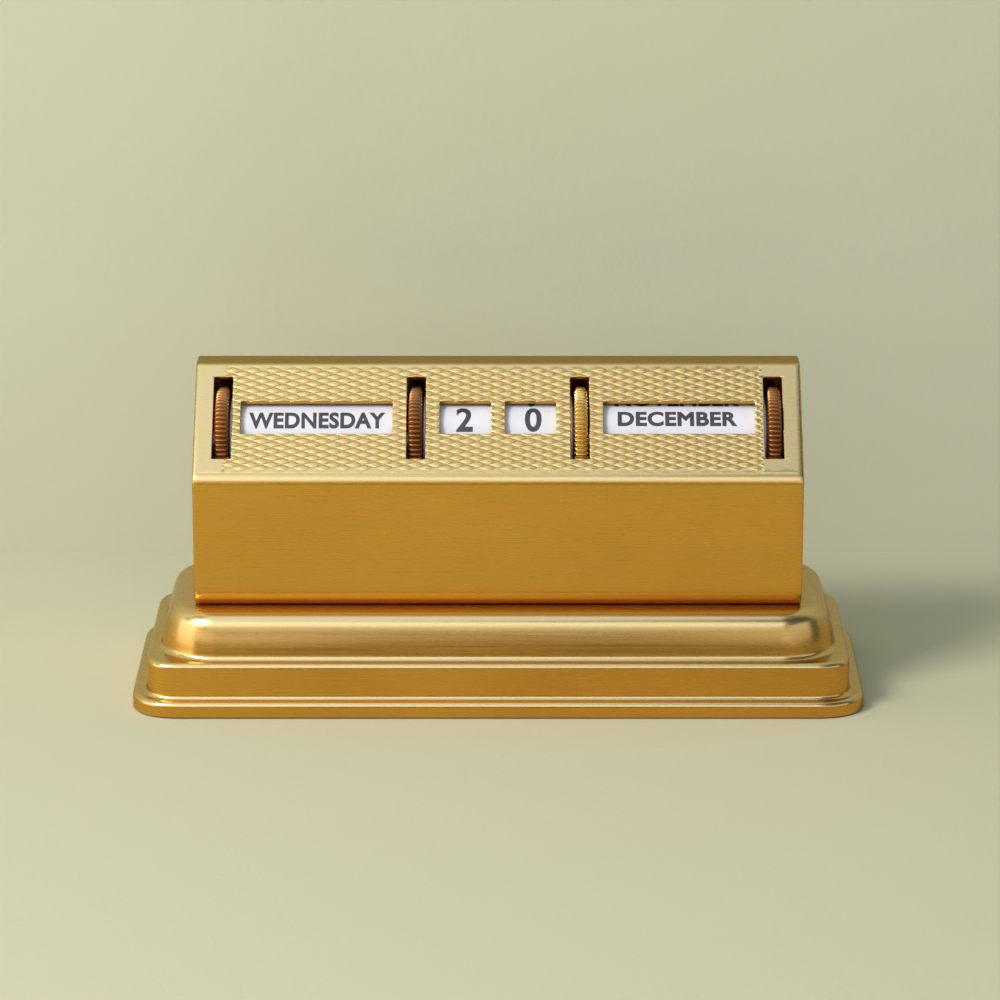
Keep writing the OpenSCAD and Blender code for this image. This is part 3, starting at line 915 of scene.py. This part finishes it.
    def build_sheet(self) -> bpy.types.Object:
        """Turn the dial, fold the sheet round, and give it its thickness with a plain inner side."""
        dial = self.lay_dial()
        place = self.onto_dial()
        flat = [vertex.co.copy() for vertex in dial.data.vertices]
        for vertex, at in zip(dial.data.vertices, flat):
            vertex.co = place @ Vector((at.x, at.y, self.surface(at.x, at.y)))
        work_on(dial)
        bpy.ops.object.mode_set(mode="EDIT")
        self.fold_round(self.fold_steps)
        self.fold_back(self.ridge_steps)
        bpy.ops.mesh.select_all(action="SELECT")
        bpy.ops.mesh.remove_doubles(threshold=0.002)
        bpy.ops.mesh.normals_make_consistent(inside=False)
        close_edit()
        into_dial = place.inverted()
        outer = [into_dial @ vertex.co for vertex in dial.data.vertices]
        apply(dial, "SOLIDIFY", thickness=self.sheet_t, offset=-1, use_even_offset=True)
        low, high = self.crease_at - SLACK, self.dial_l - self.reach(self.ridge_r, self.slope) - SLACK
        plain = set()
        for index, at in enumerate(outer):
            if low < at.y < high and abs(at.z) < self.relief_limit:
                inner = index + len(outer)
                dial.data.vertices[inner].co = place @ Vector((at.x, at.y, -self.sheet_t))
                plain.add(inner)
        work_on(dial)
        bpy.ops.object.mode_set(mode="EDIT")
        pick(Part.FACE, lambda f: all(v.index in plain for v in f.verts))
        bpy.ops.mesh.delete(type="FACE")
        pick(Part.EDGE, lambda e: e.is_boundary)
        bpy.ops.mesh.fill(use_beauty=False)
        bpy.ops.mesh.select_all(action="SELECT")
        bpy.ops.mesh.normals_make_consistent(inside=False)
        close_edit()
        smooth(dial, 32)
        return dial

    def section(self) -> list[Point]:
        """The outline of the housing's section, across and up, from the front's foot round to the back's."""
        reach = self.reach(self.fold_r, self.slope)
        bend_z, reach_in = self.bend_size()
        bend = arc((reach_in, self.bottom + self.tight_r), self.tight_r, 270, 180 + self.bend_turn, 4)
        bend += arc((self.bend_r, self.bottom + bend_z), self.bend_r, 180 + self.bend_turn, 180, 10)[1:]
        front = [(self.front + y, z) for y, z in bend]
        back = [(self.back - y, z) for y, z in reversed(bend)]
        fold = arc((self.front + self.fold_r, self.fold_z - reach), self.fold_r, 180, 180 - self.slope, 10)
        ridge_reach = self.reach(self.ridge_r, self.slope)
        ridge_y = self.front + self.dial_l * math.cos(math.radians(self.slope)) + ridge_reach
        far_y = ridge_y + self.top_d - 2 * ridge_reach
        ridge = arc((ridge_y, self.top - self.ridge_r), self.ridge_r, 180 - self.slope, 90, 6)
        far_ridge = arc((far_y, self.top - self.ridge_r), self.ridge_r, 90, 45, 6)
        brow_at = (self.back - self.ridge_r, self.top - self.back_bevel - ridge_reach)
        brow = arc(brow_at, self.ridge_r, 45, 0, 6)
        return front + fold + ridge + far_ridge + brow + back

    def build_end(self, side: int, node: str) -> bpy.types.Object:
        """Cut an end plate from the section's outline, break its outer edge, and turn its foot in.

        Args:
            side: -1 for the left plate, 1 for the right.
            node: the CAD node it stands for.
        Returns:
            The plate.
        """
        low, high = extent(node)
        outside, inside = (low.x, -self.half_w) if side < 0 else (high.x, self.half_w)
        outline = self.section()
        plate = start(bpy.ops.mesh.primitive_circle_add, vertices=len(outline), radius=1, fill_type="NGON")
        shape = bmesh.from_edit_mesh(plate.data)
        for vertex, (y, z) in zip(shape.verts, outline):
            vertex.co = (inside, y, z)
        bmesh.update_edit_mesh(plate.data)
        bpy.ops.mesh.select_all(action="SELECT")
        extrude(x=outside - inside)
        bpy.ops.mesh.select_all(action="SELECT")
        bpy.ops.mesh.normals_make_consistent(inside=False)
        pick(Part.EDGE, lambda e: all(abs(v.co.x - outside) < NEAR for v in e.verts))
        bpy.ops.mesh.bevel(offset=self.end_bevel, segments=4, clamp_overlap=True)
        foot_z = self.bottom + self.sheet_t
        half = self.back - self.foot_side_gap
        for at, normal in (((0, 0, foot_z), (0, 0, 1)), ((0, 0, foot_z + self.foot_t), (0, 0, 1)),
                           ((0, -half, 0), (0, 1, 0)), ((0, half, 0), (0, 1, 0))):
            pick(Part.FACE, lambda f: abs(middle(f).x - inside) < NEAR and abs(f.normal.x) > 0.99)
            cut_plane(at, normal)
        pick(Part.FACE, lambda f: abs(middle(f).x - inside) < NEAR and abs(f.normal.x) > 0.99
             and foot_z < middle(f).z < foot_z + self.foot_t and abs(middle(f).y) < half)
        extrude(x=-side * self.foot_reach)
        close_edit()
        return plate

    def dress(self) -> None:
        """Build, place and finish the housing's pieces."""
        finish = SATIN_BRASS.material()
        sheet = settle(self.build_sheet(), "housing_sheet", self.body, finish)
        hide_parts("housing_shell")
        for side, node in ((-1, "end_plate_left"), (1, "end_plate_right")):
            plate = self.build_end(side, node)
            axle_y, axle_z = axle_place()
            bpy.ops.object.select_all(action="DESELECT")
            bpy.ops.mesh.primitive_cylinder_add(
                vertices=32, radius=self.axle_hole_r, depth=self.drill_l, rotation=(0, math.pi / 2, 0),
                location=(side * self.half_w, axle_y, axle_z))
            bpy.ops.object.transform_apply()
            combine(plate, active(), "DIFFERENCE")
            smooth(plate, 32)
            settle(plate, f"{node}_brass", self.body, finish)
            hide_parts(node)


# ---- Axle ----

def axle_place() -> Point:
    """The axle's place in the section, across and up."""
    low, high = extent("axle_shaft")
    return (low.y + high.y) / 2, (low.z + high.z) / 2


@dataclass
class Axle:
    """The shaft, its washers and spacers, and the slotted screws at its ends."""

    body: str = "case"
    shank_r: float = 0.95
    head_bevel: float = 0.35
    slot_w: float = 0.6
    slot_d: float = 0.4

    def build_screw(self, side: int, node: str) -> bpy.types.Object:
        """Turn a screw: a head with a broken edge, a shank, and a slot.

        Args:
            side: -1 for the left end, 1 for the right.
            node: the CAD node it stands for.
        Returns:
            The screw.
        """
        low, high = extent(node)
        axle_y, axle_z = axle_place()
        outside, tip = (low.x, high.x) if side < 0 else (high.x, low.x)
        head_r = (high.y - low.y) / 2
        seat = extent("end_plate_left")[0].x * -side
        screw = start(
            bpy.ops.mesh.primitive_circle_add, vertices=48, radius=head_r, fill_type="NGON",
            rotation=(0, math.pi / 2, 0), location=(seat, axle_y, axle_z))
        extrude(x=outside - seat)
        bpy.ops.mesh.select_all(action="SELECT")
        bpy.ops.mesh.normals_make_consistent(inside=False)
        pick(Part.EDGE, lambda e: all(abs(v.co.x - outside) < NEAR for v in e.verts))
        bpy.ops.mesh.bevel(offset=self.head_bevel, segments=4)
        pick(Part.FACE, lambda f: abs(middle(f).x - seat) < NEAR)
        bpy.ops.mesh.inset(thickness=head_r - self.shank_r)
        extrude(x=tip - seat)
        close_edit()
        bpy.ops.object.select_all(action="DESELECT")
        bpy.ops.mesh.primitive_cube_add(size=1, location=(outside, axle_y, axle_z))
        active().scale = (2 * self.slot_d, 3 * head_r, self.slot_w)
        bpy.ops.object.transform_apply()
        combine(screw, active(), "DIFFERENCE")
        smooth(screw, 32)
        return screw

    def dress(self, frame: dict[str, Any]) -> None:
        """Build, place and finish the screws, and finish the axle's CAD nodes."""
        finish = SCREW_BRASS.material()
        for side, node in ((-1, "axle_screw_left"), (1, "axle_screw_right")):
            screw = settle(self.build_screw(side, node), f"{node}_turned", self.body, finish)
            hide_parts(node)
        steel, plating = GROUND_STEEL.material(), ZINC_PLATE.material()
        dress(frame["nodes"]["axle_shaft"], steel)
        dress(frame["nodes"]["spring_washer"], steel)
        for node in ("axle_spacer_left", "axle_spacer_right", "thrust_washers"):
            dress(frame["nodes"][node], plating)


# ---- Drums ----

@dataclass(frozen=True)
class Lettering:
    """How one kind of printing is set."""

    cap_height: float
    stretch: float              # width against the typeface's own
    boldness: float             # how far the outlines are pushed out, as a share of the letters' size
    lift: float = 0.0           # how far the words stand over the middle of their places
    spacing: float = 1.06       # of the letters, against the typeface's own
    mitre_limit: float = 0.35   # keeps the mitres of sharp corners short

    def embolden(self, letters: bpy.types.Object) -> None:
        """Push the outlines of flat letters out, with mitred corners.

        Args:
            letters: a flat mesh whose vertices all lie on the outlines.
        """
        shape = bmesh.new()
        shape.from_mesh(letters.data)
        moves = []
        for vertex in shape.verts:
            outward = []
            for edge in vertex.link_edges:
                if edge.is_boundary:
                    along = edge.other_vert(vertex).co - vertex.co
                    across = Vector((along.y, -along.x, 0)).normalized()
                    inside = edge.link_faces[0].calc_center_median() - vertex.co
                    outward.append(-across if across.dot(inside) > 0 else across)
            both = sum(outward, Vector())
            mitre = both / max(self.mitre_limit, 1 + outward[0].dot(outward[-1]))
            moves.append(mitre * self.boldness)
        for vertex, move in zip(shape.verts, moves):
            vertex.co += move
        shape.to_mesh(letters.data)
        shape.free()


WEEKDAY_NAMES = Lettering(3.75, 0.88, 0.04, 0.05)
MONTH_NAMES = Lettering(3.45, 1.05, 0.042, 0.4)
DIGITS = Lettering(5.6, 0.92, 0.026, 0.3)


@dataclass
class DateDrum:
    """One drum with its thumb wheel, its paper band and its printing."""

    body: str
    words: tuple[str, ...]
    shown: int                  # which of the words shows at rest
    lettering: Lettering
    middle_x: float             # of the printing
    wheel_finish: BrushedMetal
    faces: float = 135.0        # where the dial is from the axle, in degrees from +Y towards +Z
    ink_t: float = 0.015
    slice_h: float = 0.45       # height of the strips that the printing is bent in
    teeth: int = 76
    knurl_d: float = 0.5
    points_per_tooth: int = 6
    rim_bevel: float = 0.5
    rim_land: float = 1.6
    dish: float = 0.35
    boss_r: float = 4.02

    def build_printing(self) -> bpy.types.Object:
        """Set the words one under another, cut them in strips, and bend them round the paper band."""
        low, high = extent(f"{self.body}_label")
        radius = (high.y - low.y) / 2
        pitch = 2 * math.pi * radius / len(self.words)
        letters = [self.set_word(word, (self.shown - i) * pitch) for i, word in enumerate(self.words)]
        sheet = join(letters)
        bpy.ops.object.mode_set(mode="EDIT")
        bpy.ops.mesh.select_all(action="SELECT")
        bpy.ops.mesh.remove_doubles(threshold=0.0002)
        bottom = (self.shown - len(self.words) + 0.5) * pitch + self.lettering.lift
        for k in range(int(2 * math.pi * radius / self.slice_h)):
            bpy.ops.mesh.select_all(action="SELECT")
            cut_plane((0, bottom + k * self.slice_h, 0), (0, 1, 0))
        close_edit()
        axle_y, axle_z = axle_place()
        face = math.radians(self.faces)
        for vertex in sheet.data.vertices:
            angle = face - vertex.co.y / radius
            away = radius + self.ink_t / 4
            vertex.co = (vertex.co.x, axle_y + away * math.cos(angle), axle_z + away * math.sin(angle))
        apply(sheet, "SOLIDIFY", thickness=self.ink_t, offset=1)
        return sheet

    def set_word(self, word: str, up: float) -> bpy.types.Object:
        """Set one word flat, as a mesh.

        Args:
            word: the letters.
            up: the middle of its height, round the drum from the word that shows.
        Returns:
            The flat word.
        """
        bpy.ops.object.select_all(action="DESELECT")
        bpy.ops.object.text_add()
        text = active()
        text.data.body = word
        text.data.align_x = "CENTER"
        text.data.resolution_u = 5
        text.data.space_character = self.lettering.spacing
        bpy.ops.object.convert(target="MESH")
        letters = active()
        self.lettering.embolden(letters)
        tops = [v.co.y for v in letters.data.vertices]
        scale = self.lettering.cap_height / (max(tops) - min(tops))
        mid_y = (max(tops) + min(tops)) / 2
        for vertex in letters.data.vertices:
            x = vertex.co.x * scale * self.lettering.stretch
            vertex.co = (self.middle_x + x, up + self.lettering.lift + (vertex.co.y - mid_y) * scale, 0)
        return letters

    def build_wheel(self) -> bpy.types.Object:
        """Turn the thumb wheel, dish its sides, bore it for the boss, and knurl its rim."""
        low, high = extent(f"{self.body}_wheel")
        radius, width = (high.z - low.z) / 2, high.x - low.x
        axle_y, axle_z = axle_place()
        wheel = start(
            bpy.ops.mesh.primitive_circle_add, vertices=self.teeth * self.points_per_tooth,
            radius=radius - self.rim_bevel, fill_type="NGON", location=(0, 0, -width / 2))
        swell = 0.3 * self.rim_bevel
        rings = [(radius - swell, swell), (radius, self.rim_bevel), (radius, width / 2),
                 (radius, width - self.rim_bevel), (radius - swell, width - swell),
                 (radius - self.rim_bevel, width)]
        last_r, last_z = radius - self.rim_bevel, 0.0
        for ring_r, z in rings:
            extrude(z=z - last_z)
            stretch(ring_r / last_r, ring_r / last_r, 1, (0, 0, 0))
            last_r, last_z = ring_r, z
        bpy.ops.mesh.select_all(action="SELECT")
        bpy.ops.mesh.normals_make_consistent(inside=False)
        for side in (-1, 1):
            pick(Part.FACE, lambda f: f.normal.z * side > 0.99 and abs(abs(middle(f).z) - width / 2) < 1e-3)
            bpy.ops.mesh.inset(thickness=self.rim_land)
            bpy.ops.mesh.inset(thickness=self.dish, depth=-self.dish)
            bpy.ops.mesh.inset(thickness=radius - self.rim_bevel - self.rim_land - self.dish - self.boss_r)
            bpy.ops.mesh.delete(type="FACE")
        pick(Part.EDGE, lambda e: e.is_boundary)
        bpy.ops.mesh.bridge_edge_loops()
        close_edit()
        for vertex in wheel.data.vertices:
            self.knurl(vertex, radius, width)
        turn = Matrix.Rotation(math.pi / 2, 4, "Y")
        wheel.data.transform(Matrix.Translation(((low.x + high.x) / 2, axle_y, axle_z)) @ turn)
        smooth(wheel, 50)
        return wheel

    def knurl(self, vertex: Any, radius: float, width: float) -> None:
        """Lower a rim vertex between two teeth.

        Args:
            vertex: the vertex, on a wheel that lies flat.
            radius: the wheel's outer radius.
            width: the wheel's width; not used.
        """
        away = math.hypot(vertex.co.x, vertex.co.y)
        if away < radius - self.rim_bevel * 0.5:
            return
        turn = math.atan2(vertex.co.y, vertex.co.x) * self.teeth
        hollow = (0.5 - 0.5 * math.cos(turn)) ** 1.5
        shrink = 1 - self.knurl_d * hollow / away
        vertex.co.x *= shrink
        vertex.co.y *= shrink

    def dress(self, frame: dict[str, Any], paper: bpy.types.Material, ink: bpy.types.Material,
              plastic: bpy.types.Material) -> None:
        """Build, place and finish the drum's pieces, and finish its CAD nodes.

        Args:
            frame: the loaded frame.
            paper: the bands' finish.
            ink: the printing's finish.
            plastic: the drums' finish.
        """
        finish = self.wheel_finish.material()
        wheel = settle(self.build_wheel(), f"{self.body}_thumb_wheel", self.body, finish)
        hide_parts(f"{self.body}_wheel")
        printing = settle(self.build_printing(), f"{self.body}_printing", self.body, ink)
        dress(frame["nodes"][f"{self.body}_label"], paper)
        dress(frame["nodes"][f"{self.body}_drum"], plastic)


WEEKDAYS = ("MONDAY", "TUESDAY", "WEDNESDAY", "THURSDAY", "FRIDAY", "SATURDAY", "SUNDAY")
MONTHS = ("JANUARY", "FEBRUARY", "MARCH", "APRIL", "MAY", "JUNE", "JULY", "AUGUST", "SEPTEMBER", "OCTOBER",
          "NOVEMBER", "DECEMBER")


# ---- Studio ----

@dataclass(frozen=True)
class Lamp:
    """A soft rectangular lamp that looks at the calendar."""

    name: str
    azimuth: float              # degrees, 0 in front and negative to the left
    elevation: float
    distance: float             # metres
    width: float
    height: float
    radiance: float             # how bright its face is, where 1 renders as white
    tint: str = "#FFFFFF"

    def hang(self) -> None:
        """Hang the lamp, out of the camera's sight."""
        a, e = math.radians(self.azimuth), math.radians(self.elevation)
        away = Vector((math.sin(a) * math.cos(e), -math.cos(a) * math.cos(e), math.sin(e)))
        data = bpy.data.lights.new(self.name, "AREA")
        data.shape = "RECTANGLE"
        data.size, data.size_y = self.width, self.height
        data.energy = self.radiance * math.pi * self.width * self.height
        data.color = linear(self.tint)[:3]
        lamp = bpy.data.objects.new(self.name, data)
        bpy.context.scene.collection.objects.link(lamp)
        lamp.location = away * self.distance + Vector((0, 0, LAMPS_AIM))
        lamp.rotation_euler = (-away).to_track_quat("-Z", "Y").to_euler()
        lamp.visible_camera = False


@dataclass
class Studio:
    """A pale table and wall, soft lamps, and the camera."""

    pale: str = "#B4B49C"
    wall: str = "#BBBDA6"
    world: str = "#DCDCDC"
    world_strength: float = 0.12
    wall_y: float = 0.0847
    lens: float = 163.66
    camera_at: tuple[float, float, float] = (0.00038, -0.8779, 0.2972)
    camera_pitch: float = 73.5      # degrees up from looking straight down
    table_size: float = 6.0         # metres, of the table and the wall
    patch: float = 60.0             # size of the patches in their paint, in millimetres
    tooth: float = 1.5              # size of its fine unevenness, in millimetres
    board_depth: float = 0.05       # and the depth of that
    lamps: tuple[Lamp, ...] = (
        Lamp("key softbox", -50, 39, 1.3, 0.45, 0.45, 28.0, "#FFF6EA"),
        Lamp("high panel", -31, 73, 1.3, 0.75, 0.95, 1.3, "#DCEEFF"),
        Lamp("front panel", -5, 36, 1.3, 0.9, 0.74, 1.75, "#DCEEFF"),
        Lamp("low card", -26, 11, 1.5, 1.2, 0.2, 1.4),
        Lamp("right card", 16, 12, 1.5, 0.5, 0.25, 1.2),
        Lamp("left window", -80, 12, 1.3, 1.5, 0.75, 2.0, "#E8F2FF"),
        Lamp("right window", 50, 17, 1.3, 1.2, 0.6, 0.9, "#E8F2FF"),
    )

    def backdrop_material(self, name: str, colour: str) -> bpy.types.Material:
        """Painted board with a faint unevenness, which can't be seen from its back.

        Args:
            name: the material's name.
            colour: the paint.
        Returns:
            The material.
        """
        material, tree, output = new_material(name)
        patches = grain(tree, self.patch, Vector((1, 1, 1)), 4.0)
        fine = grain(tree, self.tooth, Vector((1, 1, 1)), 3.0)
        tone = blend_colours(tree, between(tree, patches, 0.35, 0.65), self.pale, colour)
        bump = relief(tree, fine, self.board_depth)
        paint = add_node(tree, "ShaderNodeBsdfDiffuse", {"Color": tone, "Normal": bump})
        behind = add_node(tree, "ShaderNodeNewGeometry")
        clear = add_node(tree, "ShaderNodeBsdfTransparent")
        mix = add_node(tree, "ShaderNodeMixShader", {
            0: behind.outputs["Backfacing"], 1: paint.outputs[0], 2: clear.outputs[0]})
        tree.links.new(mix.outputs[0], output.inputs["Surface"])
        return material

    def build_stage(self) -> None:
        """Lay the table and stand the wall behind it."""
        bpy.ops.object.select_all(action="DESELECT")
        bpy.ops.mesh.primitive_plane_add(size=self.table_size, location=(0, 0, 0))
        table = active()
        table.name = "table_top"
        dress(table, self.backdrop_material("painted table", self.pale))
        bpy.ops.mesh.primitive_plane_add(
            size=self.table_size, location=(0, self.wall_y, self.table_size / 2),
            rotation=(math.pi / 2, 0, 0))
        wall = active()
        wall.name = "back_wall"
        dress(wall, self.backdrop_material("painted wall", self.wall))

    def light(self) -> None:
        """Hang the lamps and set the room's own pale light."""
        for lamp in self.lamps:
            lamp.hang()
        world = bpy.data.worlds.new("room")
        world.use_nodes = True
        bpy.context.scene.world = world
        tree = world.node_tree
        tree.nodes.clear()
        room = add_node(tree, "ShaderNodeBackground", {
            "Color": linear(self.world), "Strength": self.world_strength})
        add_node(tree, "ShaderNodeOutputWorld", {"Surface": room.outputs[0]})

    def place_camera(self) -> None:
        """Set the camera in front, a little over the calendar."""
        data = bpy.data.cameras.new("camera")
        data.lens = self.lens
        data.sensor_width = 36
        data.clip_start, data.clip_end = 0.01, 50
        camera = bpy.data.objects.new("camera", data)
        bpy.context.scene.collection.objects.link(camera)
        camera.location = self.camera_at
        camera.rotation_euler = (math.radians(self.camera_pitch), 0, 0)
        bpy.context.scene.camera = camera

    def build(self) -> None:
        """Set the whole studio up."""
        self.build_stage()
        self.light()
        self.place_camera()
        bpy.context.scene.view_settings.view_transform = "Standard"


def drums() -> list[DateDrum]:
    """The four drums, left to right."""
    tens = tuple("0123" * 2)
    units = tuple("0123456789")
    return [
        DateDrum("weekday", WEEKDAYS, 2, WEEKDAY_NAMES, -36.1, COPPERY_WHEEL_BRASS),
        DateDrum("tens", tens, 2, DIGITS, -6.7, COPPERY_WHEEL_BRASS),
        DateDrum("units", units, 0, DIGITS, 7.0, WHEEL_BRASS),
        DateDrum("month", MONTHS, 11, MONTH_NAMES, 35.5, COPPERY_WHEEL_BRASS),
    ]


def main() -> None:
    """Build the studio and the calendar."""
    logging.basicConfig(level=logging.INFO, format="%(message)s")
    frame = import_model()
    Studio().build()
    LOG.info("studio: table, wall, lamps and camera")
    Base().dress(frame)
    LOG.info("base: done")
    Housing().dress()
    LOG.info("housing: done")
    Axle().dress(frame)
    LOG.info("axle: done")
    paper, ink, plastic = LABEL_PAPER.material(), PRINTING_INK.material(), MOULDED_PLASTIC.material()
    for drum in drums():
        drum.dress(frame, paper, ink, plastic)
        LOG.info("%s drum: done", drum.body)


if __name__ == "__main__":
    main()
